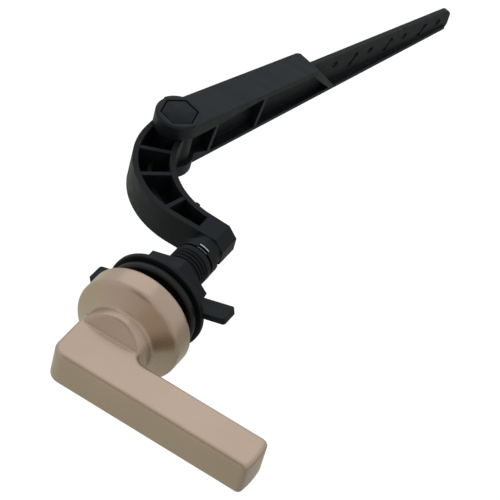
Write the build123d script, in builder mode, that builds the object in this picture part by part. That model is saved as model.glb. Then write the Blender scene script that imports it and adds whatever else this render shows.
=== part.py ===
"""Cistern lever: cast handle, threaded wall shank, curved crank and indexed lift arm.

Frame, in millimetres: +X runs along the handle bar to its free end, +Y runs along the
spindle into the cistern, +Z is up. The origin is on the spindle axis, in the plane of the
hub's rear rim.
"""

import os

from build123d import *

os.makedirs("parts", exist_ok=True)

# Handle casting
HUB_R = 21.5
HUB_FRONT = -9.05
HUB_SLOPE = 0.642
HUB_RECESS_R = 18.9
HUB_RECESS_FLOOR = -6.2
STEM_R = 13.8
STEM_CUT_FRONT = -21.75
STEM_CUT_SLOPE = 1.77
BAR_LEFT, BAR_RIGHT = -13.3, 69.3
BAR_FRONT, BAR_BACK = -40.75, -24.65
BAR_HALF_HEIGHT = 7.3
NECK_RIGHT, NECK_BACK = 12.1, -17.0
EDGE_ROUND = 1.5

# Spindle and its square drives
SPINDLE_R = 4.6
SQUARE = 6.4
SQUARE_FIT = 0.05
SPINDLE_SHOULDER_FRONT, SPINDLE_SHOULDER_REAR = -1.95, 41.8
SPINDLE_END = 55.8

# Wall shank
THREAD_R = 8.0
RUNNING = 0.08
FLANGE_R = 16.5
FLANGE_FRONT, FLANGE_REAR = 1.0, 4.4
SHANK_NOSE_R = 12.4
SHANK_FRONT, SHANK_END = -1.7, 37.0

# Turning stop between hub and shank, in degrees about the spindle
TRAVEL = 38.0
LUG_WIDTH = 22.0
LUG_MIDDLE = 270.0
LUG_INNER, LUG_OUTER = 9.4, 11.9

# Gasket and lock nut
GASKET_R = 18.7
GASKET_FRONT, GASKET_REAR = 5.6, 9.5
NUT_FLANGE_R = 20.0
NUT_FRONT, NUT_FLANGE_REAR = 9.8, 12.2
NUT_REAR = 22.5
NUT_ACROSS_CORNERS = 29.4
NUT_ANGLE = 18.0
WING_TIP = 29.3
WING_THICK = 2.6
WING_FRONT, WING_REAR = 10.4, 18.6

# Crank, a channel seen in plan
CRANK_HALF_HEIGHT = 7.0
CRANK_FRONT, CRANK_BACK = 45.7, 56.1
BEND_X, BEND_Y = -15.5, 81.0
BEND_OUTER = 35.3
BEND_MIDDLE = 27.4
INNER_X, INNER_Y = -4.3, 88.0
INNER_R = 31.55
WALL = 2.3
FLOOR = 2.2
RIB = 1.8
CROSS_RIBS = ((-40.7, 72.1, 27.6), (-33.5, 60.8, 42.5), (-19.7, 51.5, 74.6))
GATE_POST = (-12.6, 56.9)
COLLAR_R = 7.9
COLLAR_FRONT, COLLAR_REAR = 37.75, 41.6
WINDOW_ANGLE = 75.0
WINDOW_WIDTH = 4.4
CLIP_Y = 38.45
CLIP_WIDE, CLIP_GAP = 2.3, 1.2

# Pivot between crank and lift arm
PIVOT = (-42.3, 89.5)
PIVOT_R = 9.5
EYE_R = 7.6
HEAD_R, SHAFT_R = 7.75, 5.0
HEAD_SEAT = 9.6
HEX_FIT = 0.09
PRONG_GAP = 7.3
PRONG_TOP, PRONG_BOTTOM = 13.9, -12.7

# Lift arm, along its own length from the pivot
ARM_ANGLE = 72.5
ARM_SLOPE, KEEL_SLOPE = 0.056, 0.0484
ARM_LENGTH = 157.4
PLATE_END = 70.0
PLATE_THICK = 2.4
HAUNCH_END = 38.0
WEB_THICK = 2.4
TAIL_START, TAIL_TOP, TAIL_TIP = 73.0, 7.73, 4.6
HOLE_R = 1.6
HOLE_PITCH = 20.9

# Lever handle: stem and hub are turned forms, bar and neck one flat L
with BuildPart() as stem:
    with BuildSketch(Plane.XZ.offset(12)):
        Circle(STEM_R)
    extrude(amount=14)
    # Sloped flats above and below the bar
    with BuildSketch(Plane.YZ):
        with BuildLine():
            Polyline(
                (STEM_CUT_FRONT - BAR_HALF_HEIGHT / STEM_CUT_SLOPE, 0),
                (STEM_CUT_FRONT + 8 / STEM_CUT_SLOPE, -BAR_HALF_HEIGHT - 8),
                (-11, -BAR_HALF_HEIGHT - 8),
                (-11, BAR_HALF_HEIGHT + 8),
                (STEM_CUT_FRONT + 8 / STEM_CUT_SLOPE, BAR_HALF_HEIGHT + 8),
                close=True,
            )
        make_face()
    extrude(amount=STEM_R + 1, both=True, mode=Mode.INTERSECT)
    # Sides drawn in to the width of the neck
    with BuildSketch(Plane.XY):
        with BuildLine():
            Polyline(
                (BAR_LEFT + 0.3, -27),
                (BAR_LEFT + 0.3, STEM_CUT_FRONT),
                (-STEM_R - 0.3, -17.5),
                (-STEM_R - 0.3, -11),
                (STEM_R + 0.3, -11),
                (STEM_R + 0.3, -17.5),
                (NECK_RIGHT - 0.3, STEM_CUT_FRONT),
                (NECK_RIGHT - 0.3, -27),
                close=True,
            )
        make_face()
    extrude(amount=STEM_R + 1, both=True, mode=Mode.INTERSECT)

with BuildPart() as lever_handle:
    with BuildSketch(Plane.XY):
        with BuildLine():
            l1 = Line((BAR_LEFT, NECK_BACK), (BAR_LEFT, BAR_FRONT))
            l2 = Line(l1 @ 1, (BAR_RIGHT - 0.6, BAR_FRONT))
            l3 = ThreePointArc(
                l2 @ 1,
                (BAR_RIGHT + 0.2, (BAR_FRONT + BAR_BACK) / 2),
                (BAR_RIGHT - 0.6, BAR_BACK),
            )
            l4 = Line(l3 @ 1, (NECK_RIGHT, BAR_BACK))
            l5 = Line(l4 @ 1, (NECK_RIGHT, NECK_BACK))
            Line(l5 @ 1, l1 @ 0)
        make_face()
        for corner, radius in (
            ((BAR_LEFT, BAR_FRONT), 5.5),
            ((NECK_RIGHT, BAR_BACK), 4.6),
            ((BAR_RIGHT - 0.6, BAR_FRONT), 2.0),
            ((BAR_RIGHT - 0.6, BAR_BACK), 3.0),
        ):
            fillet(vertices().sort_by_distance(corner)[0], radius)
    extrude(amount=BAR_HALF_HEIGHT, both=True)
    flat_edges = faces().filter_by(Axis.Z).edges()
    fillet(flat_edges, EDGE_ROUND)
    add(stem.part)
    with BuildSketch(Plane.XY):
        with BuildLine():
            Polyline(
                (0, HUB_RECESS_FLOOR + 4.2),
                (0, HUB_FRONT - HUB_SLOPE * (HUB_R - 12)),
                (12, HUB_FRONT - HUB_SLOPE * (HUB_R - 12)),
                (HUB_R - 0.9, HUB_FRONT - HUB_SLOPE * 0.9),
                (HUB_R - 0.25, HUB_FRONT + 0.2),
                (HUB_R, HUB_FRONT + 1.0),
                (HUB_R, -0.4),
                (HUB_R - 0.4, 0),
                (HUB_RECESS_R, 0),
                (HUB_RECESS_R, HUB_RECESS_FLOOR),
                (8.8, HUB_RECESS_FLOOR),
                (8.8, HUB_RECESS_FLOOR + 4.2),
                close=True,
            )
        make_face()
    revolve(axis=Axis.Y)
    # Stop lug in the recess
    with BuildSketch(Plane.XZ.offset(-HUB_RECESS_FLOOR)):
        with BuildLine():
            start, stop = LUG_MIDDLE - LUG_WIDTH / 2, LUG_WIDTH
            outer = CenterArc((0, 0), LUG_OUTER, start, stop)
            inner = CenterArc((0, 0), LUG_INNER, start, stop)
            Line(outer @ 0, inner @ 0)
            Line(outer @ 1, inner @ 1)
        make_face()
    extrude(amount=HUB_RECESS_FLOOR - 0.6)
    # Blind square socket for the spindle
    with BuildSketch(Plane.XZ.offset(0)):
        Rectangle(SQUARE + 2 * SQUARE_FIT, SQUARE + 2 * SQUARE_FIT)
    extrude(amount=18.5, mode=Mode.SUBTRACT)
lever_handle.part.label = "lever_handle"
export_step(lever_handle.part, "parts/lever_handle.step")

# Spindle: round journal with a square drive at each end and a slot for the clip
with BuildPart() as spindle:
    with BuildSketch(Plane.XZ.offset(-SPINDLE_SHOULDER_REAR)):
        Circle(SPINDLE_R)
    extrude(amount=SPINDLE_SHOULDER_REAR - SPINDLE_SHOULDER_FRONT)
    with BuildSketch(Plane.XZ.offset(-SPINDLE_END)):
        Rectangle(SQUARE, SQUARE)
    extrude(amount=SPINDLE_END + 18.0)
    chamfer(faces().sort_by(Axis.Y)[0].edges(), 0.6)
    chamfer(faces().sort_by(Axis.Y)[-1].edges(), 0.6)
    clip_plane = Plane(
        origin=(0, CLIP_Y, 0),
        x_dir=(0, 1, 0),
        z_dir=Vector(1, 0, 0).rotate(Axis.Y, -WINDOW_ANGLE),
    )
    with BuildSketch(clip_plane.offset(2.6)):
        Rectangle(CLIP_WIDE + 0.1, WINDOW_WIDTH)
    extrude(amount=5, mode=Mode.SUBTRACT)
spindle.part.label = "spindle"
export_step(spindle.part, "parts/spindle.step")

# Threaded shank, drawn at its crest radius
with BuildPart() as threaded_shank:
    bore_r = SPINDLE_R + 0.06
    with BuildSketch(Plane.XY):
        with BuildLine():
            Polyline(
                (bore_r, SHANK_FRONT),
                (SHANK_NOSE_R, SHANK_FRONT),
                (SHANK_NOSE_R, FLANGE_FRONT),
                (FLANGE_R - 0.6, FLANGE_FRONT),
                (FLANGE_R, FLANGE_FRONT + 0.6),
                (FLANGE_R, FLANGE_REAR - 0.6),
                (FLANGE_R - 0.6, FLANGE_REAR),
                (THREAD_R, FLANGE_REAR),
                (THREAD_R, SHANK_END - 0.5),
                (THREAD_R - 0.5, SHANK_END),
                (bore_r, SHANK_END),
                close=True,
            )
        make_face()
    revolve(axis=Axis.Y)
    # Arc notch that the hub's lug travels in
    with BuildSketch(Plane.XZ.offset(-SHANK_FRONT)):
        with BuildLine():
            notch_size = LUG_WIDTH + TRAVEL + 4
            notch_start = LUG_MIDDLE - LUG_WIDTH / 2 - TRAVEL - 2
            far = CenterArc((0, 0), SHANK_NOSE_R + 1, notch_start, notch_size)
            near = CenterArc((0, 0), LUG_INNER - 0.4, notch_start, notch_size)
            Line(far @ 0, near @ 0)
            Line(far @ 1, near @ 1)
        make_face()
    extrude(amount=SHANK_FRONT - FLANGE_FRONT, mode=Mode.SUBTRACT)
threaded_shank.part.label = "threaded_shank"
export_step(threaded_shank.part, "parts/threaded_shank.step")

# Rubber gasket, round at its front edge and drawn in towards the nut
with BuildPart() as wall_gasket:
    with BuildSketch(Plane.XY):
        with BuildLine():
            Polyline(
                (THREAD_R + RUNNING, GASKET_FRONT),
                (GASKET_R - 1.3, GASKET_FRONT),
                (GASKET_R - 0.4, GASKET_FRONT + 0.4),
                (GASKET_R, GASKET_FRONT + 1.3),
                (GASKET_R - 0.2, GASKET_REAR - 1.0),
                (GASKET_R - 1.1, GASKET_REAR),
                (THREAD_R + RUNNING, GASKET_REAR),
                close=True,
            )
        make_face()
    revolve(axis=Axis.Y)
wall_gasket.part.label = "wall_gasket"
export_step(wall_gasket.part, "parts/wall_gasket.step")

# Lock nut: flange, hexagon and two finger wings
with BuildPart() as lock_nut:
    with BuildSketch(Plane.XZ.offset(-NUT_FLANGE_REAR)):
        RegularPolygon(NUT_ACROSS_CORNERS / 2, 6, rotation=NUT_ANGLE)
    extrude(amount=NUT_FLANGE_REAR - NUT_REAR)
    with BuildSketch(Plane.XY):
        with BuildLine():
            Polyline(
                (0, NUT_FRONT),
                (NUT_FLANGE_R - 0.3, NUT_FRONT),
                (NUT_FLANGE_R, NUT_FRONT + 0.3),
                (NUT_FLANGE_R, NUT_FLANGE_REAR - 0.6),
                (NUT_FLANGE_R - 0.6, NUT_FLANGE_REAR),
                (12.4, NUT_FLANGE_REAR + 0.5),
                (0, NUT_FLANGE_REAR + 0.5),
                close=True,
            )
        make_face()
    revolve(axis=Axis.Y)
    wing_plane = Plane(
        origin=(0, 0, 0),
        x_dir=Vector(1, 0, 0).rotate(Axis.Y, -NUT_ANGLE),
        z_dir=Vector(0, 0, 1).rotate(Axis.Y, -NUT_ANGLE),
    )
    with BuildSketch(wing_plane):
        with Locations((0, (WING_FRONT + WING_REAR) / 2)):
            RectangleRounded(2 * WING_TIP, WING_REAR - WING_FRONT, 1.2)
    extrude(amount=WING_THICK / 2, both=True)
    with BuildSketch(Plane.XZ.offset(-NUT_FRONT + 1)):
        Circle(THREAD_R + RUNNING)
    extrude(amount=-(NUT_REAR - NUT_FRONT + 2), mode=Mode.SUBTRACT)
lock_nut.part.label = "lock_nut"
export_step(lock_nut.part, "parts/lock_nut.step")

# Curved crank channel with a clevis hub, cross ribs and a drive collar
with BuildPart() as crank_arm:
    with BuildSketch(Plane.XY.offset(-CRANK_HALF_HEIGHT)) as crank_plan:
        with BuildLine():
            c1 = Line((2.0, CRANK_FRONT), (BEND_X, CRANK_FRONT))
            c2 = CenterArc((BEND_X, BEND_Y), BEND_OUTER, 270, -90)
            c3 = Line(c2 @ 1, (c2 @ 1 + Vector(0, PIVOT[1] - BEND_Y)))
            c4 = CenterArc((INNER_X, INNER_Y), INNER_R, 180, 90)
            Polyline(c3 @ 1, (INNER_X - INNER_R, PIVOT[1]), c4 @ 0)
            c5 = Line(c4 @ 1, (2.0, CRANK_BACK))
            Line(c5 @ 1, c1 @ 0)
        make_face()
    extrude(amount=2 * CRANK_HALF_HEIGHT)
    # Pocket between the walls, leaving floor, end block and hub side solid
    with BuildSketch(Plane.XY.offset(-CRANK_HALF_HEIGHT + FLOOR)) as pocket_plan:
        add(crank_plan.sketch.face())
        offset(amount=-WALL, kind=Kind.INTERSECTION)
        with Locations((0, CRANK_FRONT + 6)):
            Rectangle(11.5, 30, mode=Mode.SUBTRACT)
        with Locations(PIVOT):
            Circle(EYE_R + 1.0, mode=Mode.SUBTRACT)
            Rectangle(60, 6, align=(Align.CENTER, Align.MIN), mode=Mode.SUBTRACT)
    extrude(amount=2 * CRANK_HALF_HEIGHT, mode=Mode.SUBTRACT)
    # Low rib along the middle of the channel
    with BuildSketch(Plane.XY.offset(-CRANK_HALF_HEIGHT)):
        with BuildLine():
            middle = CenterArc((BEND_X, BEND_Y), BEND_MIDDLE, 278, -80)
        trace(middle, RIB)
    extrude(amount=CRANK_HALF_HEIGHT)
    # Cross ribs, flush with the rim
    with BuildSketch(Plane.XY.offset(-CRANK_HALF_HEIGHT)):
        for x, y, angle in CROSS_RIBS:
            with Locations((x, y)):
                Rectangle(15.0, RIB, rotation=angle)
        add(crank_plan.sketch.face(), mode=Mode.INTERSECT)
    extrude(amount=2 * CRANK_HALF_HEIGHT - 0.2)
    # Round post where the moulding was fed
    with BuildSketch(Plane.XY.offset(-CRANK_HALF_HEIGHT)):
        with Locations(GATE_POST):
            Circle(1.5)
    extrude(amount=2 * CRANK_HALF_HEIGHT - 0.1)
    # Eye between the prongs
    with BuildSketch(Plane.XY.offset(-CRANK_HALF_HEIGHT)):
        with Locations(PIVOT):
            Circle(EYE_R)
    extrude(amount=2 * CRANK_HALF_HEIGHT)
    with BuildSketch(Plane.XY.offset(-CRANK_HALF_HEIGHT)):
        with Locations(PIVOT):
            with Locations(Rotation(0, 0, ARM_ANGLE)):
                RegularPolygon(SHAFT_R + HEX_FIT, 6, rotation=30)
    extrude(amount=2 * CRANK_HALF_HEIGHT, mode=Mode.SUBTRACT)
    # Trim what stands past the hub
    with BuildSketch(Plane.XY.offset(-CRANK_HALF_HEIGHT - 1)):
        with Locations(PIVOT):
            Rectangle(60, 40, align=(Align.CENTER, Align.MIN))
            Circle(EYE_R, mode=Mode.SUBTRACT)
    extrude(amount=2 * CRANK_HALF_HEIGHT + 2, mode=Mode.SUBTRACT)
    # Eight-sided drive end, its neck and its collar
    with BuildSketch(Plane.XZ.offset(-CRANK_BACK)):
        RegularPolygon(CRANK_HALF_HEIGHT, 8, major_radius=False, rotation=22.5)
    extrude(amount=CRANK_BACK - CRANK_FRONT)
    with BuildSketch(Plane.XZ.offset(-CRANK_FRONT - 1)):
        Circle(CRANK_HALF_HEIGHT - 0.2)
    extrude(amount=CRANK_FRONT + 1 - COLLAR_REAR + 0.5)
    with BuildSketch(Plane.XZ.offset(-COLLAR_REAR)):
        Circle(COLLAR_R)
    extrude(amount=COLLAR_REAR - COLLAR_FRONT)
    with BuildSketch(Plane.XZ.offset(-COLLAR_FRONT + 1)):
        Circle(SPINDLE_R + SQUARE_FIT)
    extrude(amount=-(SPINDLE_SHOULDER_REAR - COLLAR_FRONT + 1.2), mode=Mode.SUBTRACT)
    with BuildSketch(Plane.XZ.offset(-CRANK_BACK - 1)):
        Rectangle(SQUARE + 2 * SQUARE_FIT, SQUARE + 2 * SQUARE_FIT)
    extrude(amount=CRANK_BACK - COLLAR_FRONT, mode=Mode.SUBTRACT)
    with BuildSketch(clip_plane.offset(2.6)):
        with Locations((-0.6, 0)):
            Rectangle(CLIP_WIDE + 1.4, WINDOW_WIDTH)
    extrude(amount=9, mode=Mode.SUBTRACT)
crank_arm.part.label = "crank_arm"
export_step(crank_arm.part, "parts/crank_arm.step")

# Folded steel clip that drops through the collar's window into the spindle's slot
with BuildPart() as retaining_clip:
    side_plane = Plane(
        origin=(0, CLIP_Y, 0),
        x_dir=(0, 1, 0),
        z_dir=Vector(0, 0, 1).rotate(Axis.Y, -WINDOW_ANGLE),
    )
    with BuildSketch(side_plane):
        with Locations((0, -2.7)):
            Rectangle(CLIP_WIDE, 8.0, align=(Align.CENTER, Align.MAX))
        with Locations((0, -3.4)):
            Rectangle(CLIP_GAP, 8.0, align=(Align.CENTER, Align.MAX), mode=Mode.SUBTRACT)
    extrude(amount=WINDOW_WIDTH / 2 - 0.05, both=True)
    with BuildSketch(Plane.XZ.offset(-36)):
        Circle(COLLAR_R - 0.05)
    extrude(amount=-6, mode=Mode.INTERSECT)
retaining_clip.part.label = "retaining_clip"
export_step(retaining_clip.part, "parts/retaining_clip.step")

# Index pin with a hexagonal head and shaft, cored from below
arm_plane = Plane(
    origin=(PIVOT[0], PIVOT[1], 0),
    x_dir=Vector(1, 0, 0).rotate(Axis.Z, ARM_ANGLE),
    z_dir=(0, 0, 1),
)
with BuildPart() as hex_pin:
    with BuildSketch(arm_plane.offset(HEAD_SEAT)):
        RegularPolygon(HEAD_R, 6, rotation=30)
    extrude(amount=PRONG_TOP - 0.1 - HEAD_SEAT)
    chamfer(faces().sort_by(Axis.Z)[-1].edges(), 0.35)
    with BuildSketch(arm_plane.offset(PRONG_BOTTOM + 1.8)):
        RegularPolygon(SHAFT_R, 6, rotation=30)
    extrude(amount=HEAD_SEAT - PRONG_BOTTOM - 1.8)
    chamfer(faces().sort_by(Axis.Z)[0].edges(), 0.35)
    with BuildSketch(arm_plane.offset(PRONG_BOTTOM + 1.8)):
        Circle(2.8)
    extrude(amount=20, mode=Mode.SUBTRACT)
hex_pin.part.label = "hex_pin"
export_step(hex_pin.part, "parts/hex_pin.step")

# Lift arm: forked I-beam that runs out into a perforated tail
arm_side = Plane(
    origin=(PIVOT[0], PIVOT[1], 0),
    x_dir=Vector(1, 0, 0).rotate(Axis.Z, ARM_ANGLE),
    z_dir=Vector(0, -1, 0).rotate(Axis.Z, ARM_ANGLE),
)


def rise(s):
    """Height of the beam's top above the pivot's middle at a distance s from the pivot."""
    return PRONG_TOP - ARM_SLOPE * s


def keel(s):
    """Height of the beam's underside at a distance s from the pivot, a negative number."""
    return PRONG_BOTTOM + KEEL_SLOPE * s


with BuildPart() as upper_flange:
    with BuildSketch(arm_side):
        with BuildLine():
            Polyline(
                (0, PRONG_GAP),
                (9, PRONG_GAP),
                (HAUNCH_END, rise(HAUNCH_END) - PLATE_THICK),
                (PLATE_END - 1.0, rise(PLATE_END) - PLATE_THICK),
                (84.8, keel(84.8) + 1.0),
                (87.6, keel(87.6) + 1.0),
                (PLATE_END + 1.4, rise(PLATE_END)),
                (0, rise(0)),
                close=True,
            )
        make_face()
    extrude(amount=14, both=True)
    with BuildSketch(arm_plane.offset(-20)):
        with BuildLine():
            Polyline(
                (0, -PIVOT_R),
                (PLATE_END + 1, -6.4),
                (90, -3.5),
                (90, 3.5),
                (PLATE_END + 1.6, 4.0),
                (PLATE_END + 1.4, 6.4),
                (0, 6.3),
                close=True,
            )
        make_face()
        fillet(vertices().sort_by_distance((PLATE_END + 1.4, 6.4))[0], 2.2)
        Circle(PIVOT_R)
    extrude(amount=40, mode=Mode.INTERSECT)

with BuildPart() as lower_flange:
    with BuildSketch(arm_side):
        with BuildLine():
            Polyline(
                (-PIVOT_R, PRONG_BOTTOM),
                (-PIVOT_R, -PRONG_GAP),
                (9, -PRONG_GAP),
                (17, keel(17) + 1.8),
                (ARM_LENGTH - 2, keel(ARM_LENGTH) + 1.6),
                (ARM_LENGTH - 2, keel(ARM_LENGTH - 2)),
                (0, PRONG_BOTTOM),
                close=True,
            )
        make_face()
    extrude(amount=14, both=True)
    with BuildSketch(arm_plane.offset(-20)):
        with BuildLine():
            Polyline(
                (0, -6.2),
                (ARM_LENGTH, -1.9),
                (ARM_LENGTH, 1.9),
                (0, 6.2),
                close=True,
            )
        make_face()
        Circle(PIVOT_R)
    extrude(amount=40, mode=Mode.INTERSECT)

with BuildPart() as upper_boss:
    with BuildSketch(arm_plane.offset(PRONG_GAP)):
        Circle(PIVOT_R)
    extrude(amount=PRONG_TOP - PRONG_GAP)
    chamfer(edges().sort_by(Axis.Z)[-1], 0.7)

with BuildPart() as lift_arm:
    # Web and tail in one side profile
    with BuildSketch(arm_side):
        with BuildLine():
            w1 = Polyline(
                (8, keel(8)),
                (8, rise(8) - 1),
                (PLATE_END, rise(PLATE_END) - 1),
                (TAIL_START, TAIL_TOP),
                (ARM_LENGTH, TAIL_TIP),
                (ARM_LENGTH, keel(ARM_LENGTH)),
            )
            Line(w1 @ 1, w1 @ 0)
        make_face()
        fillet(vertices().sort_by_distance((ARM_LENGTH, 7))[0], 3.6)
        fillet(vertices().sort_by_distance((ARM_LENGTH, -7))[0], 2.2)
    extrude(amount=WEB_THICK / 2, both=True)
    add(upper_flange.part)
    add(lower_flange.part)
    add(upper_boss.part)
    # Stiffening ribs across both sides of the web
    for s, front, back, foot in ((16, 8.0, 5.8, 5.6), (42, 7.0, 5.8, 4.8)):
        across = Plane(
            origin=arm_plane.from_local_coords((s, 0, 0)),
            x_dir=arm_plane.y_dir,
            z_dir=arm_plane.x_dir,
        )
        with BuildSketch(across):
            with BuildLine():
                Polyline(
                    (-front, rise(s) - 1),
                    (back, rise(s) - 1),
                    (foot, keel(s) + 1),
                    (-foot, keel(s) + 1),
                    close=True,
                )
            make_face()
        extrude(amount=0.75, both=True)
    # Fork root that clears the crank's eye
    with BuildSketch(arm_plane.offset(-PRONG_GAP)):
        Circle(EYE_R + 0.5)
    extrude(amount=2 * PRONG_GAP, mode=Mode.SUBTRACT)
    # Hexagons for the pin: a seat for its head on top, blind at the bottom
    with BuildSketch(arm_plane.offset(HEAD_SEAT - 0.1)):
        RegularPolygon(HEAD_R + HEX_FIT, 6, rotation=30)
    extrude(amount=10, mode=Mode.SUBTRACT)
    with BuildSketch(arm_plane.offset(PRONG_BOTTOM + 1.5)):
        RegularPolygon(SHAFT_R + HEX_FIT, 6, rotation=30)
    extrude(amount=30, mode=Mode.SUBTRACT)
    # Chain holes and hook slots along the tail
    with BuildSketch(arm_side.offset(-5)):
        for index in range(4):
            with Locations((87.4 + HOLE_PITCH * index, 2.4 - 0.7 * index)):
                Circle(HOLE_R)
        for index in range(3):
            with Locations((98.4 + HOLE_PITCH * index, 0.4 - 0.5 * index)):
                SlotCenterToCenter(5.2, 1.2, rotation=58)
                with Locations(Rotation(0, 0, 58)):
                    with Locations((-2.6, 0), (2.6, 0)):
                        Circle(1.35)
    extrude(amount=10, mode=Mode.SUBTRACT)
lift_arm.part.label = "lift_arm"
export_step(lift_arm.part, "parts/lift_arm.step")
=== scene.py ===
"""Looks for a cistern lever: satin handle, black mouldings and a left-hand screwed wall shank.

Frame, in metres: +X runs along the handle bar to its free end, +Y along the spindle into the
cistern, +Z up. The origin is on the spindle axis, in the plane of the hub's rear rim.
"""

import logging
import math
from dataclasses import dataclass
from enum import Enum
from typing import Any

import bmesh
import bpy
import numpy as np
from mathutils import Matrix, Vector


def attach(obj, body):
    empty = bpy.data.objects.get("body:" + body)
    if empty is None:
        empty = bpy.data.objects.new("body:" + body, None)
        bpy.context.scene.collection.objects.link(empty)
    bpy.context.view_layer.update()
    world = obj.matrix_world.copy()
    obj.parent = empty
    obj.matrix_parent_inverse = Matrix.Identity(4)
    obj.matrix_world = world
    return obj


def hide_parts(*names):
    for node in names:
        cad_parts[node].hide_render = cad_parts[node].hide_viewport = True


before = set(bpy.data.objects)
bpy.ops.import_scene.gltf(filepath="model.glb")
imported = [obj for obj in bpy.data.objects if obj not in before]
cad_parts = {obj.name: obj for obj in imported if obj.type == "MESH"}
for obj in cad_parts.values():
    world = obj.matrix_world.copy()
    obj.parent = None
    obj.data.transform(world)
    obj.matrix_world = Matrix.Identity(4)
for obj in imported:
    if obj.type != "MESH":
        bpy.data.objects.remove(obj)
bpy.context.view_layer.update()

LOG = logging.getLogger("cistern_lever")

Colour = tuple[float, float, float]
Triple = tuple[float, float, float]
Span = tuple[float, float]
Inputs = dict[str | int, Any]
Socket = bpy.types.NodeSocket

MM = 0.001
FULL_TURN = 360.0
SIXTH_TURN = 60.0
UNIT: Span = (0.0, 1.0)
WHITE: Colour = (1.0, 1.0, 1.0)
MID_NOISE: Span = (0.35, 0.65)
MOST_NOISE: Span = (0.3, 0.7)
NOISE_ROUGHNESS = 0.55
ROUNDING_SAMPLES = 6
SHARP_DEGREES = 32.0
MERGE_WITHIN = 1e-7


class Body(Enum):
    """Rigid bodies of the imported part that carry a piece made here."""

    SHANK = "shank"
    GASKET = "gasket"
    PIN = "pin"


class Slot(Enum):
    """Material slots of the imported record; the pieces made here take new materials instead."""

    PLASTIC = "black_plastic"
    RUBBER = "black_rubber"


class ThreadHand(Enum):
    """Which way a thread climbs along +Y as the angle from +X towards +Z grows."""

    RIGHT = -1.0
    LEFT = 1.0


class RowEnds(Enum):
    """What the first and the last row of a grid of points do."""

    JOINED = "meet each other"
    POLES = "stand for one point each"
    OPEN = "stay open"


@dataclass(frozen=True)
class Grain:
    """Noise on a surface: features per metre, and number of finer layers."""

    scale: float
    layers: float = 2.0


@dataclass(frozen=True)
class Relief:
    """Bump on a surface: metres that a height of 1 stands for, and share of the effect."""

    depth: float
    share: float


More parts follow.
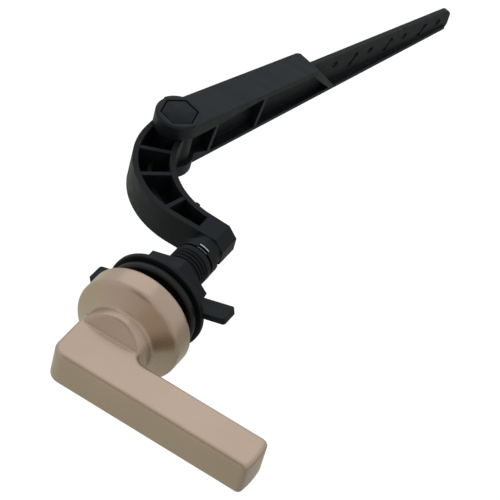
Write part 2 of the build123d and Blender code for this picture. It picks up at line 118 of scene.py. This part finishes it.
class NodeBench:
    """Lays shader nodes in one tree, with inputs given as numbers or as links."""

    def __init__(self, tree: bpy.types.NodeTree) -> None:
        """Clear the node tree of a material or of the world, and keep it."""
        self.tree = tree
        self.tree.nodes.clear()

    def add(self, kind: str, inputs: Inputs | None = None, **settings: Any) -> bpy.types.Node:
        """Add one node.

        Args:
            kind: Blender's name of the node type.
            inputs: socket name or index to a constant or to another node's output socket.
            settings: node properties, such as operation or data_type.

        Returns:
            The new node.
        """
        node = self.tree.nodes.new(kind)
        for key, value in settings.items():
            setattr(node, key, value)
        for key, value in (inputs or {}).items():
            if isinstance(value, Socket):
                self.tree.links.new(value, node.inputs[key])
            else:
                node.inputs[key].default_value = value
        return node

    def place(self) -> Socket:
        """Position on the piece, in metres in the part's frame."""
        return self.add("ShaderNodeTexCoord").outputs["Object"]

    def along(self, where: Socket, axis: str) -> Socket:
        """One coordinate of a position, by the letter of its axis."""
        return self.add("ShaderNodeSeparateXYZ", {"Vector": where}).outputs[axis]

    def stretched(self, where: Socket, scale: Triple, turn_degrees: float = 0.0) -> Socket:
        """Position that is scaled along each axis and then turned about Z."""
        inputs = {"Vector": where, "Rotation": (0.0, 0.0, math.radians(turn_degrees)), "Scale": scale}
        return self.add("ShaderNodeMapping", inputs).outputs["Vector"]

    def noise(self, where: Socket, grain: Grain) -> Socket:
        """Smooth noise with values about 0.5."""
        inputs = {"Vector": where, "Scale": grain.scale, "Detail": grain.layers, "Roughness": NOISE_ROUGHNESS}
        return self.add("ShaderNodeTexNoise", inputs).outputs["Fac"]

    def remap(self, value: Socket, span: Span, to: Span) -> Socket:
        """Value clamped to a span and carried to another one."""
        inputs = {"Value": value, "From Min": span[0], "From Max": span[1], "To Min": to[0], "To Max": to[1]}
        return self.add("ShaderNodeMapRange", inputs).outputs["Result"]

    def math(self, operation: str, first: Socket, second: Socket | float) -> Socket:
        """Result of one of Blender's operations on two values."""
        return self.add("ShaderNodeMath", {0: first, 1: second}, operation=operation).outputs["Value"]

    def tint(self, share: Socket, low: Colour, high: Colour) -> Socket:
        """Colour between two tints.

        Args:
            share: 0 for the low tint, 1 for the high one.
            low: linear colour at 0.
            high: linear colour at 1.

        Returns:
            Colour socket.
        """
        ramp = self.add("ShaderNodeValToRGB", {"Fac": share})
        ramp.color_ramp.elements[0].color = (*low, 1.0)
        ramp.color_ramp.elements[1].color = (*high, 1.0)
        return ramp.outputs["Color"]

    def blend(self, body: Socket, share: Socket, most: float, other: Colour) -> Socket:
        """Colour that turns towards another tint, as on edges painted with highlight or dark reflection.

        Args:
            body: colour where the share is 0.
            share: value from 0 to 1, such as that of edges().
            most: how much of the other tint a share of 1 brings.
            other: linear colour of that tint.

        Returns:
            Colour socket.
        """
        part = self.remap(share, UNIT, (0.0, most))
        inputs = {"Factor": part, "A": body, "B": (*other, 1.0)}
        return self.add("ShaderNodeMix", inputs, data_type="RGBA").outputs["Result"]

    def rounded(self, radius: float) -> Socket:
        """Normal that rounds sharp edges over a radius in metres."""
        return self.add("ShaderNodeBevel", {"Radius": radius}, samples=ROUNDING_SAMPLES).outputs["Normal"]

    def edges(self, rounded: Socket, reach: float) -> Socket:
        """Share that is 1 on edges, where the rounded normal leaves the face's own one.

        Args:
            rounded: normal from rounded().
            reach: drop of the dot product that counts as a full edge.

        Returns:
            Socket with the share.
        """
        own = self.add("ShaderNodeNewGeometry").outputs["Normal"]
        dot = self.add("ShaderNodeVectorMath", {0: rounded, 1: own}, operation="DOT_PRODUCT")
        return self.remap(dot.outputs["Value"], (1.0 - reach, 1.0), (1.0, 0.0))

    def bump(self, height: Socket, relief: Relief, normal: Socket) -> Socket:
        """Normal that a height from 0 to 1 roughens, starting from another normal."""
        inputs = {"Height": height, "Distance": relief.depth, "Strength": relief.share, "Normal": normal}
        return self.add("ShaderNodeBump", inputs).outputs["Normal"]

    def facing(self, axis: Triple, turn: Span) -> Socket:
        """Share of the sky that looks along an axis.

        Args:
            axis: direction out from the part.
            turn: cosines to that direction that give 0 and 1.

        Returns:
            Socket with the share.
        """
        along = self.add("ShaderNodeTexCoord").outputs["Generated"]
        unit = tuple(Vector(axis).normalized())
        dot = self.add("ShaderNodeVectorMath", {0: along, 1: unit}, operation="DOT_PRODUCT")
        return self.remap(dot.outputs["Value"], turn, UNIT)

    def glow(self, strength: Socket, tint: Colour) -> Socket:
        """Light of a linear tint that a surface gives off."""
        inputs = {"Color": (*tint, 1.0), "Strength": strength}
        return self.add("ShaderNodeEmission", inputs).outputs["Emission"]

    def finish(self, inputs: Inputs) -> None:
        """Close the tree with the surface shader, given its sockets and constants."""
        shader = self.add("ShaderNodeBsdfPrincipled", inputs)
        self.add("ShaderNodeOutputMaterial", {"Surface": shader.outputs["BSDF"]})


def fresh_material(name: str) -> tuple[bpy.types.Material, NodeBench]:
    """Make an empty node material.

    Args:
        name: the material's name.

    Returns:
        The material and a bench on its tree.
    """
    material = bpy.data.materials.new(name)
    material.use_nodes = True
    return material, NodeBench(material.node_tree)


@dataclass(frozen=True)
class SatinNickel:
    """Champagne-coloured satin nickel on a zinc casting; lengths in metres."""

    name: str = "champagne_nickel"
    low: Colour = (0.475, 0.370, 0.296)
    high: Colour = (0.505, 0.398, 0.320)
    # painted dark reflection: brown colour on the edges round the hub
    painted_edge: Colour = (0.225, 0.140, 0.085)
    roughness: Span = (0.24, 0.31)
    cloud: Grain = Grain(34.0)
    blasting: Grain = Grain(2600.0, 3.0)
    relief: Relief = Relief(0.00002, 0.12)
    rounding: float = 0.0018
    rim_rounding: float = 0.0008
    rim_reach: float = 0.12
    rim_share: float = 0.65
    rim_span: Span = (-0.0135, -0.0115)

    def material(self) -> bpy.types.Material:
        """Metal with a soft cloud of tint, a fine blasted grain and a painted dark reflection round the hub.

        The painted dark reflection sets in along Y over the rim's span, so the bar and the stem have none.

        Returns:
            The material.
        """
        material, bench = fresh_material(self.name)
        where = bench.place()
        cloud = bench.remap(bench.noise(where, self.cloud), MID_NOISE, UNIT)
        grain = bench.noise(where, self.blasting)
        rounded = bench.rounded(self.rounding)
        rim = bench.remap(bench.along(where, "Y"), self.rim_span, UNIT)
        # where the painted dark reflection goes: sharp edges, on the hub's rim only
        painted_edge = bench.math("MULTIPLY", bench.edges(bench.rounded(self.rim_rounding), self.rim_reach), rim)
        body = bench.tint(cloud, self.low, self.high)
        bench.finish({
            "Base Color": bench.blend(body, painted_edge, self.rim_share, self.painted_edge),
            "Metallic": 1.0,
            "Roughness": bench.remap(grain, MOST_NOISE, self.roughness),
            "Normal": bench.bump(grain, self.relief, rounded),
        })
        return material


@dataclass(frozen=True)
class MouldedPlastic:
    """Black moulded plastic with flow marks drawn out along X; lengths in metres."""

    name: str
    pattern_degrees: float
    gloss: float = 0.24
    low: Colour = (0.0050, 0.0066, 0.0082)
    high: Colour = (0.0078, 0.0098, 0.0118)
    # painted highlight: lighter colour that the edges turn towards
    painted_highlight: Colour = (0.016, 0.018, 0.020)
    shine: Colour = (0.76, 0.88, 1.0)
    roughness: Span = (0.46, 0.60)
    bending: float = 1.46
    flow: Grain = Grain(420.0, 3.0)
    stretch: Triple = (0.08, 1.0, 1.0)
    spark: Grain = Grain(3200.0)
    relief: Relief = Relief(0.00003, 0.22)
    rounding: float = 0.00035
    edge_reach: float = 0.15
    painted_highlight_share: float = 0.45

    def material(self) -> bpy.types.Material:
        """Near-black plastic: stretched flow marks, fine spark grain and a painted highlight on the edges.

        The noise of the marks is turned by an angle for each moulding, so no two share a pattern.

        Returns:
            The material.
        """
        material, bench = fresh_material(self.name)
        where = bench.place()
        flow = bench.noise(bench.stretched(where, self.stretch, -self.pattern_degrees), self.flow)
        grain = bench.noise(where, self.spark)
        rounded = bench.rounded(self.rounding)
        # edges that take the painted highlight
        painted_edge = bench.edges(rounded, self.edge_reach)
        body = bench.tint(bench.remap(flow, MID_NOISE, UNIT), self.low, self.high)
        height = bench.math("ADD", grain, flow)
        bench.finish({
            "Base Color": bench.blend(body, painted_edge, self.painted_highlight_share, self.painted_highlight),
            "Roughness": bench.remap(flow, MOST_NOISE, self.roughness),
            "IOR": self.bending,
            "Specular IOR Level": self.gloss,
            "Specular Tint": (*self.shine, 1.0),
            "Normal": bench.bump(height, self.relief, rounded),
        })
        return material


@dataclass(frozen=True)
class GasketRubber:
    """Smooth black rubber with a faint bloom; lengths in metres."""

    name: str = "gasket_rubber"
    low: Colour = (0.0025, 0.0025, 0.0026)
    high: Colour = (0.0060, 0.0060, 0.0062)
    roughness: Span = (0.38, 0.52)
    gloss: float = 0.35
    bending: float = 1.5
    bloom: Grain = Grain(160.0, 4.0)
    bloom_span: Span = (0.35, 0.7)
    pores: Grain = Grain(2400.0)
    relief: Relief = Relief(0.00003, 0.2)
    rounding: float = 0.0003

    def material(self) -> bpy.types.Material:
        """Dark rubber whose bloom changes colour and gloss in soft clouds.

        Returns:
            The material.
        """
        material, bench = fresh_material(self.name)
        where = bench.place()
        bloom = bench.noise(where, self.bloom)
        pores = bench.noise(where, self.pores)
        rounded = bench.rounded(self.rounding)
        bench.finish({
            "Base Color": bench.tint(bench.remap(bloom, self.bloom_span, UNIT), self.low, self.high),
            "Roughness": bench.remap(bloom, MOST_NOISE, self.roughness),
            "IOR": self.bending,
            "Specular IOR Level": self.gloss,
            "Normal": bench.bump(pores, self.relief, rounded),
        })
        return material


@dataclass(frozen=True)
class SpindleBrass:
    """Brass bar with fine lines drawn along the spindle; lengths in metres."""

    name: str = "spindle_bar"
    low: Colour = (0.50, 0.38, 0.17)
    high: Colour = (0.66, 0.52, 0.27)
    roughness: Span = (0.24, 0.36)
    lines: Grain = Grain(2600.0, 3.0)
    stretch: Triple = (1.0, 0.03, 1.0)
    relief: Relief = Relief(0.00001, 0.2)
    rounding: float = 0.0002

    def material(self) -> bpy.types.Material:
        """Metal whose tint and gloss follow noise stretched along the drawing direction.

        Returns:
            The material.
        """
        material, bench = fresh_material(self.name)
        lines = bench.noise(bench.stretched(bench.place(), self.stretch), self.lines)
        rounded = bench.rounded(self.rounding)
        bench.finish({
            "Base Color": bench.tint(bench.remap(lines, MID_NOISE, UNIT), self.low, self.high),
            "Metallic": 1.0,
            "Roughness": bench.remap(lines, MOST_NOISE, self.roughness),
            "Normal": bench.bump(lines, self.relief, rounded),
        })
        return material


@dataclass(frozen=True)
class ShadedClipSteel:
    """Spring steel clip: painted shade on its front leg, painted highlight on its rear; lengths in metres."""

    name: str = "clip_steel"
    # painted shade of the front leg, then painted highlight of the rear leg
    shaded_leg: Colour = (0.050, 0.065, 0.085)
    lit_leg: Colour = (0.52, 0.58, 0.66)
    fade: Span = (0.0380, 0.0390)
    line_share: float = 0.15
    roughness: Span = (0.16, 0.26)
    lines: Grain = Grain(2600.0, 3.0)
    stretch: Triple = (0.05, 1.0, 1.0)
    relief: Relief = Relief(0.00001, 0.2)
    rounding: float = 0.0002

    def material(self) -> bpy.types.Material:
        """Metal whose painted shade turns to painted highlight along the spindle, with fine rolled lines.

        Returns:
            The material.
        """
        material, bench = fresh_material(self.name)
        where = bench.place()
        # painted light: shade on the front leg fading along Y to a highlight on the rear one
        share = bench.remap(bench.along(where, "Y"), self.fade, (0.0, 1.0 - self.line_share))
        lines = bench.noise(bench.stretched(where, self.stretch), self.lines)
        mixed = bench.math("ADD", share, bench.remap(lines, MOST_NOISE, (0.0, self.line_share)))
        bench.finish({
            "Base Color": bench.tint(mixed, self.shaded_leg, self.lit_leg),
            "Metallic": 1.0,
            "Roughness": bench.remap(lines, MOST_NOISE, self.roughness),
            "Normal": bench.bump(lines, self.relief, bench.rounded(self.rounding)),
        })
        return material


def round_angles(columns: int) -> np.ndarray:
    """Angles in degrees, evenly spaced round a circle."""
    return np.arange(columns) * FULL_TURN / columns


def turned(radius: np.ndarray, place: np.ndarray, degrees: np.ndarray) -> np.ndarray:
    """Points round the spindle axis: (r cos a, y, r sin a) for each row and each angle a.

    Args:
        radius: r in millimetres, as a column or as a grid of row by angle.
        place: y in millimetres, as a column.
        degrees: the angles.

    Returns:
        Array of shape (rows, columns, 3), in metres.
    """
    angle = np.radians(degrees)
    grid = np.broadcast_arrays(radius * np.cos(angle), place, radius * np.sin(angle))
    return np.stack(grid, axis=-1) * MM


def grid_mesh(name: str, points: np.ndarray, ends: RowEnds) -> bpy.types.Mesh:
    """Quads between neighbours of a grid of points whose last column meets the first.

    Vertex (i, j) is point i * columns + j, and each cell joins (i, j), (i, j+1), (i+1, j+1) and
    (i+1, j), with indices taken round the ends where the grid closes. A closed grid whose signed
    volume, a sixth of the sum of a . (b x c) over its triangles, is negative is turned round. Where
    the first and last rows are poles, their points are merged into one each.

    Args:
        name: mesh name.
        points: array of shape (rows, columns, 3), in metres.
        ends: what the first and the last row do.

    Returns:
        The new mesh.
    """
    rows, columns = points.shape[:2]
    i = np.arange(rows if ends is RowEnds.JOINED else rows - 1)[:, None]
    j = np.arange(columns)[None, :]
    up, right = (i + 1) % rows, (j + 1) % columns
    corners = (i * columns + j, i * columns + right, up * columns + right, up * columns + j)
    quads = np.stack(np.broadcast_arrays(*corners), axis=-1).reshape(-1, 4)
    flat = points.reshape(-1, 3)
    if ends is not RowEnds.OPEN:
        a, b, c, d = (flat[quads[:, k]] for k in range(4))
        volume = np.einsum("ij,ij->", a, np.cross(b, c)) + np.einsum("ij,ij->", a, np.cross(c, d))
        quads = quads if volume > 0 else quads[:, ::-1]
    mesh = bpy.data.meshes.new(name)
    mesh.vertices.add(len(flat))
    mesh.vertices.foreach_set("co", flat.astype(np.float32).ravel())
    mesh.loops.add(quads.size)
    mesh.loops.foreach_set("vertex_index", np.ascontiguousarray(quads, dtype=np.int32).ravel())
    mesh.polygons.add(len(quads))
    mesh.polygons.foreach_set("loop_start", np.arange(0, quads.size, 4, dtype=np.int32))
    mesh.polygons.foreach_set("use_smooth", np.ones(len(quads), dtype=bool))
    mesh.update(calc_edges=True)
    mesh.validate()
    if ends is RowEnds.POLES:
        shape = bmesh.new()
        shape.from_mesh(mesh)
        bmesh.ops.remove_doubles(shape, verts=shape.verts, dist=MERGE_WITHIN)
        shape.to_mesh(mesh)
        shape.free()
    mesh.set_sharp_from_angle(angle=math.radians(SHARP_DEGREES))
    return mesh


def place_piece(mesh: bpy.types.Mesh, material: bpy.types.Material) -> bpy.types.Object:
    """Put a mesh in the scene at the origin with one material.

    Args:
        mesh: finished mesh, in the part's frame.
        material: its finish.

    Returns:
        The new object, named as the mesh is.
    """
    piece = bpy.data.objects.new(mesh.name, mesh)
    bpy.context.scene.collection.objects.link(piece)
    mesh.materials.append(material)
    LOG.info("built %s with %s", piece.name, material.name)
    return piece


def dress(node: str, material: bpy.types.Material) -> None:
    """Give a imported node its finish.

    Args:
        node: the node's name.
        material: its finish.
    """
    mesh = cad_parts[node].data
    mesh.materials.clear()
    mesh.materials.append(material)
    LOG.info("dressed %s with %s", node, material.name)


@dataclass(frozen=True)
class Handle:
    """Cast handle and the spindle that it turns."""

    casting: SatinNickel = SatinNickel()
    bar: SpindleBrass = SpindleBrass()

    def build(self) -> None:
        """Finish the casting and the spindle."""
        dress("lever_handle", self.casting.material())
        dress("spindle", self.bar.material())


@dataclass(frozen=True)
class WallShank:
    """Screwed shank that clamps on the cistern wall; millimetres and degrees."""

    bore: float = 4.66
    bore_edge: float = 0.3
    nose: float = 12.4
    nose_edge: float = 0.2
    notch: float = 9.0
    notch_from: float = 219.0
    notch_to: float = 283.0
    flange: float = 16.5
    flange_edge: float = 0.6
    flange_front: float = 1.0
    flange_rear: float = 4.4
    front: float = -1.7
    end: float = 37.0
    end_edge: float = 0.5
    crest: float = 8.0
    depth: float = 0.8
    pitch: float = 1.73
    hand: ThreadHand = ThreadHand.LEFT
    root_angle: float = 55.0
    root_place: float = 32.0
    crest_from: float = 0.80
    flank_share: float = 0.62
    thread_from: float = 5.4
    thread_to: float = 34.1
    fade: float = 0.8
    columns: int = 192
    rows_per_turn: int = 14

    def outline(self) -> np.ndarray:
        """Closed profile in the half plane of the axis.

        It runs out along the nose, over the flange, along the thread and back through the bore.

        Returns:
            Array of radius and place along Y, in millimetres, one row each.
        """
        rows = int((self.thread_to - self.thread_from) / self.pitch * self.rows_per_turn)
        along = np.linspace(self.thread_from - self.fade / 2.0, self.thread_to + self.fade / 2.0, rows)
        lead = [
            (self.bore, self.front),
            (self.nose - self.nose_edge, self.front),
            (self.nose, self.front + self.nose_edge),
            (self.nose, self.flange_front),
            (self.flange - self.flange_edge, self.flange_front),
            (self.flange, self.flange_front + self.flange_edge),
            (self.flange, self.flange_rear - self.flange_edge),
            (self.flange - self.flange_edge, self.flange_rear),
            (self.crest, self.flange_rear),
        ]
        thread = np.stack([np.full(rows, self.crest), along], axis=1)
        tail = [
            (self.crest, self.end - self.end_edge),
            (self.crest - self.end_edge, self.end),
            (self.bore + self.bore_edge, self.end),
            (self.bore, self.end - self.bore_edge),
        ]
        return np.concatenate([lead, thread, tail])

    def points(self) -> np.ndarray:
        """Points of the shank on a grid of outline row by angle.

        The radius starts as the outline's. On the rows at the crest's radius it loses depth * f, where
        f rises from 0 on the flat crest to 1 in the root as a smooth step. The step reads how far a
        point is from the nearest root line, y = y0 + hand * pitch * (angle - angle0) / 360, in half
        pitches: the crest begins at crest_from, and the flank takes flank_share. The thread fades out
        at both of its ends. Between the notch angles the nose is cut back to a smaller radius, so the
        stop lug of the hub has room to travel.

        Returns:
            Array of shape (rows, columns, 3), in metres.
        """
        radius, place = self.outline().T[:, :, None]
        degrees = round_angles(self.columns)
        climb = self.hand.value * self.pitch * (degrees - self.root_angle) / FULL_TURN
        phase = (place - (self.root_place + climb)) / self.pitch
        away = 2.0 * np.abs(phase - np.round(phase))
        flank = np.clip((self.crest_from - away) / self.flank_share, *UNIT)
        cut = flank * flank * (3.0 - 2.0 * flank)
        rise = np.clip((place - self.thread_from + self.fade / 2.0) / self.fade, *UNIT)
        fall = np.clip((self.thread_to + self.fade / 2.0 - place) / self.fade, *UNIT)
        screwed = radius - self.depth * cut * rise * fall * (radius == self.crest)
        inside = (degrees > self.notch_from) & (degrees < self.notch_to)
        nosed = (place <= self.flange_front) & (radius > self.notch) & (radius <= self.nose)
        return turned(np.where(nosed & inside, self.notch, screwed), place, degrees)

    def build(self, material: bpy.types.Material) -> bpy.types.Object:
        """Make the screwed shank and put it in place of the plain one.

        Args:
            material: finish of the shank.

        Returns:
            The new piece.
        """
        piece = place_piece(grid_mesh("screwed_shank", self.points(), RowEnds.JOINED), material)
        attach(piece, Body.SHANK.value)
        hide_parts("threaded_shank")
        return piece


@dataclass(frozen=True)
class WallGasket:
    """Rubber washer between wall and nut; sizes in millimetres."""

    bore: float = 8.1
    radius: float = 18.7
    front: float = 5.6
    rear: float = 9.5
    front_round: float = 1.5
    rear_round: float = 1.2
    bore_round: float = 0.25
    draft: float = 0.22
    corner_rows: int = 9
    columns: int = 160

    def outline(self) -> np.ndarray:
        """Closed profile: flat faces and a quarter circle at each corner, small ones at the bore.

        The front outer corner of size q is (R - q + q sin t, y0 + q - q cos t) for t from 0 to 90
        degrees, and the others are its mirror images. The outer wall leans in by the draft on its
        way to the rear corner.

        Returns:
            Array of radius and place along Y, in millimetres, one row each.
        """
        t = np.radians(np.linspace(0.0, 90.0, self.corner_rows))
        turn = np.stack([np.sin(t), 1.0 - np.cos(t)], axis=1)
        back = turn[::-1] * np.array([1.0, -1.0])
        inner = self.bore + self.bore_round
        front = np.array([self.radius - self.front_round, self.front]) + self.front_round * turn
        rear = np.array([self.radius - self.draft - self.rear_round, self.rear]) + self.rear_round * back
        bore = np.array([inner, self.rear]) - self.bore_round * turn
        lip = np.array([inner, self.front]) - self.bore_round * back
        return np.concatenate([front, rear, bore, lip])

    def build(self, material: bpy.types.Material) -> bpy.types.Object:
        """Turn the profile about the spindle axis and put it in place of the plain washer.

        Args:
            material: finish of the gasket.

        Returns:
            The new piece.
        """
        radius, place = self.outline().T[:, :, None]
        points = turned(radius, place, round_angles(self.columns))
        piece = place_piece(grid_mesh("rubber_gasket", points, RowEnds.JOINED), material)
        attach(piece, Body.GASKET.value)
        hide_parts("wall_gasket")
        return piece


@dataclass(frozen=True)
class WallFitting:
    """Everything that clamps the lever on the cistern wall."""

    shank: WallShank = WallShank()
    gasket: WallGasket = WallGasket()
    shank_finish: MouldedPlastic = MouldedPlastic("shank_plastic", 90.0)
    nut_finish: MouldedPlastic = MouldedPlastic("lock_nut_plastic", 18.0)
    rubber: GasketRubber = GasketRubber()

    def build(self) -> None:
        """Build shank and gasket and finish the nut."""
        self.shank.build(self.shank_finish.material())
        self.gasket.build(self.rubber.material())
        dress("lock_nut", self.nut_finish.material())


@dataclass(frozen=True)
class IndexPin:
    """Hexagonal pin through fork and crank eye; millimetres and degrees."""

    axis: Span = (-42.3, 89.5)
    turn: float = 72.5
    head: float = 7.75
    shaft: float = 5.0
    core: float = 2.8
    seat: float = 9.6
    top: float = 13.8
    bottom: float = -10.9
    core_top: float = 9.1
    rebate: float = 0.5
    rebate_depth: float = 1.6
    rebate_fall: float = 0.1
    top_edge: Span = (0.3, 0.15)
    foot_edge: float = 0.4
    columns: int = 36

    def outline(self) -> np.ndarray:
        """Profile from the middle of the pin's top, down its side and up its core.

        Returns:
            Array of corner radius, height and six-sidedness, 1 for a hexagon and 0 for a circle.
        """
        neck, step = self.head - self.rebate, self.top - self.rebate_depth
        inset, drop = self.top_edge
        return np.array([
            (0.0, self.top, 1.0),
            (neck - inset, self.top, 1.0),
            (neck, self.top - drop, 1.0),
            (neck, step, 1.0),
            (self.head, step - self.rebate_fall, 1.0),
            (self.head, self.seat, 1.0),
            (self.shaft, self.seat, 1.0),
            (self.shaft, self.bottom + self.foot_edge, 1.0),
            (self.shaft - self.foot_edge, self.bottom, 1.0),
            (self.core, self.bottom, 0.0),
            (self.core, self.core_top, 0.0),
            (0.0, self.core_top, 0.0),
        ])

    def build(self, material: bpy.types.Material) -> bpy.types.Object:
        """Make the pin with a rebate round its head, in place of the plain one.

        At angle a from a corner, a hexagon of corner radius R reaches R cos 30 / cos(a mod 60 - 30),
        and a circle reaches R. Each row of the profile takes the one that it names.

        Args:
            material: finish of the pin.

        Returns:
            The new piece.
        """
        radius, height, six = self.outline().T[:, :, None]
        degrees = round_angles(self.columns)
        half = SIXTH_TURN / 2.0
        flat = math.cos(math.radians(half)) / np.cos(np.radians(degrees % SIXTH_TURN - half))
        reach = radius * (six * flat + 1.0 - six)
        angle = np.radians(degrees + self.turn + half)
        x, y = self.axis
        grid = np.broadcast_arrays(x + reach * np.cos(angle), y + reach * np.sin(angle), height)
        points = np.stack(grid, axis=-1) * MM
        piece = place_piece(grid_mesh("index_pin", points, RowEnds.POLES), material)
        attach(piece, Body.PIN.value)
        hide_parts("hex_pin")
        return piece


@dataclass(frozen=True)
class CrankTrain:
    """Crank, clip, index pin and lift arm inside the cistern."""

    crank: MouldedPlastic = MouldedPlastic("crank_plastic", 45.0)
    arm: MouldedPlastic = MouldedPlastic("lift_arm_plastic", 72.5, gloss=0.36)
    pin: MouldedPlastic = MouldedPlastic("index_pin_plastic", 12.5)
    clip: ShadedClipSteel = ShadedClipSteel()
    index: IndexPin = IndexPin()

    def build(self) -> None:
        """Build the pin and finish crank, arm and clip."""
        dress("crank_arm", self.crank.material())
        dress("lift_arm", self.arm.material())
        self.index.build(self.pin.material())
        dress("retaining_clip", self.clip.material())


@dataclass(frozen=True)
class Viewpoint:
    """Camera of the main picture: metres, angles in degrees, lens and sensor in millimetres."""

    name: str = "photo_camera"
    place: Triple = (0.220408, -0.532865, 0.603422)
    azimuth: float = 19.3633
    elevation: float = 43.9659
    roll: float = 16.4946
    lens: float = 165.723
    sensor: float = 36.0
    clip: Span = (0.01, 50.0)

    def axes(self) -> tuple[Vector, Vector, Vector]:
        """Right, up and back directions of the rolled camera.

        Returns:
            Three unit vectors.
        """
        a, e, t = (math.radians(x) for x in (self.azimuth, self.elevation, self.roll))
        back = Vector((math.sin(a) * math.cos(e), -math.cos(a) * math.cos(e), math.sin(e)))
        right = Vector((0.0, 0.0, 1.0)).cross(back).normalized()
        up = back.cross(right)
        return right * math.cos(t) + up * math.sin(t), up * math.cos(t) - right * math.sin(t), back

    def build(self) -> bpy.types.Object:
        """Make the camera and look through it.

        Returns:
            The camera object.
        """
        data = bpy.data.cameras.new(self.name)
        data.lens, data.sensor_width = self.lens, self.sensor
        data.clip_start, data.clip_end = self.clip
        camera = bpy.data.objects.new(self.name, data)
        turn = Matrix(self.axes()).transposed().to_4x4()
        camera.matrix_world = Matrix.Translation(self.place) @ turn
        bpy.context.scene.collection.objects.link(camera)
        bpy.context.scene.camera = camera
        return camera


@dataclass(frozen=True)
class FloorFinish:
    """Pale floor that looks white from above and shines softly into metal, most of all on the left."""

    name: str = "pale_floor"
    paint: float = 0.25
    speck: Grain = Grain(240.0)
    speck_share: float = 0.01
    white: float = 0.86
    shine: Span = (0.53, 0.25)
    shine_span: Span = (-0.45, 0.33)
    shine_tint: Colour = (0.94, 1.0, 0.82)

    def material(self) -> bpy.types.Material:
        """Painted floor with light of its own.

        From the camera it is white all over. Glossy and clear surfaces see a tinted shine that falls
        evenly along X over the span. The paint takes the lamps' light and the part's shadow.

        Returns:
            The material.
        """
        material, bench = fresh_material(self.name)
        where = bench.place()
        shine = bench.remap(bench.along(where, "X"), self.shine_span, self.shine)
        path = bench.add("ShaderNodeLightPath").outputs
        seen = bench.math("MAXIMUM", path["Is Glossy Ray"], path["Is Transmission Ray"])
        shades = (self.paint - self.speck_share, self.paint + self.speck_share)
        speck = bench.remap(bench.noise(where, self.speck), MOST_NOISE, shades)
        whole = bench.add("ShaderNodeBsdfDiffuse", {"Color": speck}).outputs["BSDF"]
        for light in (
            bench.glow(bench.math("MULTIPLY", path["Is Camera Ray"], self.white), WHITE),
            bench.glow(bench.math("MULTIPLY", seen, shine), self.shine_tint),
        ):
            whole = bench.add("ShaderNodeAddShader", {0: whole, 1: light}).outputs["Shader"]
        bench.add("ShaderNodeOutputMaterial", {"Surface": whole})
        return material


@dataclass(frozen=True)
class SoftLamp:
    """Square soft lamp that looks at the part; place and size in metres."""

    name: str
    place: Triple
    size: float
    watts: float

    def build(self, target: Vector) -> bpy.types.Object:
        """Make the lamp.

        Args:
            target: point that it faces, in metres.

        Returns:
            The lamp object.
        """
        data = bpy.data.lights.new(self.name, "AREA")
        data.shape, data.size, data.energy = "SQUARE", self.size, self.watts
        lamp = bpy.data.objects.new(self.name, data)
        lamp.location = self.place
        lamp.rotation_euler = (target - Vector(self.place)).to_track_quat("-Z", "Y").to_euler()
        bpy.context.scene.collection.objects.link(lamp)
        LOG.info("lit %s", lamp.name)
        return lamp


@dataclass(frozen=True)
class SkySpot:
    """Dim patch of the sky: direction out from the part, cosines of its rim and core, and colour."""

    axis: Triple
    turn: Span
    tint: Colour


@dataclass(frozen=True)
class Studio:
    """Floor, lamp, sky and camera around the part; lengths in metres."""

    view: Viewpoint = Viewpoint()
    floor_level: float = -0.30
    floor_radius: float = 5.0
    floor_inner: float = 0.002
    floor_growth: float = 1.5
    floor_rings: int = 24
    floor_spokes: int = 64
    floor_finish: FloorFinish = FloorFinish()
    target: Triple = (0.0, 0.08, 0.0)
    lamp: SoftLamp = SoftLamp("back_softbox", (-0.66, 1.04, 1.10), 1.5, 2.0)
    sky_axis: Triple = (-0.45, 0.55, 0.70)
    sky_turn: Span = (-0.7, 0.3)
    sky_front: Colour = (0.59, 0.53, 0.465)
    sky_back: Colour = (0.74, 0.735, 0.73)
    spots: tuple[SkySpot, ...] = (
        SkySpot((-0.10, -0.70, 0.70), (0.915, 0.985), (0.26, 0.20, 0.15)),
        SkySpot((0.40, -0.91, 0.10), (0.87, 0.97), (0.50, 0.43, 0.34)),
    )

    def floor_points(self) -> np.ndarray:
        """Disc as a polar grid at the floor's level: radius R * k ** growth by angle.

        The share k runs evenly from the inner one to 1, so the rings lie closer near the part.

        Returns:
            Array of shape (rings, spokes, 3), in metres.
        """
        share = np.linspace(self.floor_inner, 1.0, self.floor_rings)[:, None]
        ring = share ** self.floor_growth * self.floor_radius
        angle = np.radians(round_angles(self.floor_spokes))
        grid = np.broadcast_arrays(ring * np.cos(angle), ring * np.sin(angle), self.floor_level)
        return np.stack(grid, axis=-1)

    def sky(self) -> None:
        """Light the world: brightest behind on the left, warm in front, dim in a few soft spots."""
        world = bpy.data.worlds.new("studio_sky")
        bpy.context.scene.world = world
        world.use_nodes = True
        bench = NodeBench(world.node_tree)
        colour = bench.tint(bench.facing(self.sky_axis, self.sky_turn), self.sky_front, self.sky_back)
        for spot in self.spots:
            colour = bench.blend(colour, bench.facing(spot.axis, spot.turn), 1.0, spot.tint)
        light = bench.add("ShaderNodeBackground", {"Color": colour}).outputs["Background"]
        plain = bench.add("ShaderNodeBackground", {"Color": (*WHITE, 1.0)}).outputs["Background"]
        seen = bench.add("ShaderNodeLightPath").outputs["Is Camera Ray"]
        both = bench.add("ShaderNodeMixShader", {"Fac": seen, 1: light, 2: plain})
        bench.add("ShaderNodeOutputWorld", {"Surface": both.outputs["Shader"]})

    def build(self) -> None:
        """Set the camera, floor, lamp and sky."""
        self.view.build()
        paint = self.floor_finish.material()
        floor = place_piece(grid_mesh("studio_floor", self.floor_points(), RowEnds.OPEN), paint)
        self.lamp.build(Vector(self.target))
        self.sky()
        bpy.context.scene.view_settings.view_transform = "Standard"


def main() -> None:
    """Build the studio and dress the part, one sub-assembly after another."""
    logging.basicConfig(level=logging.INFO, format="%(name)s: %(message)s")
    Studio().build()
    Handle().build()
    WallFitting().build()
    CrankTrain().build()


if __name__ == "__main__":
    main()
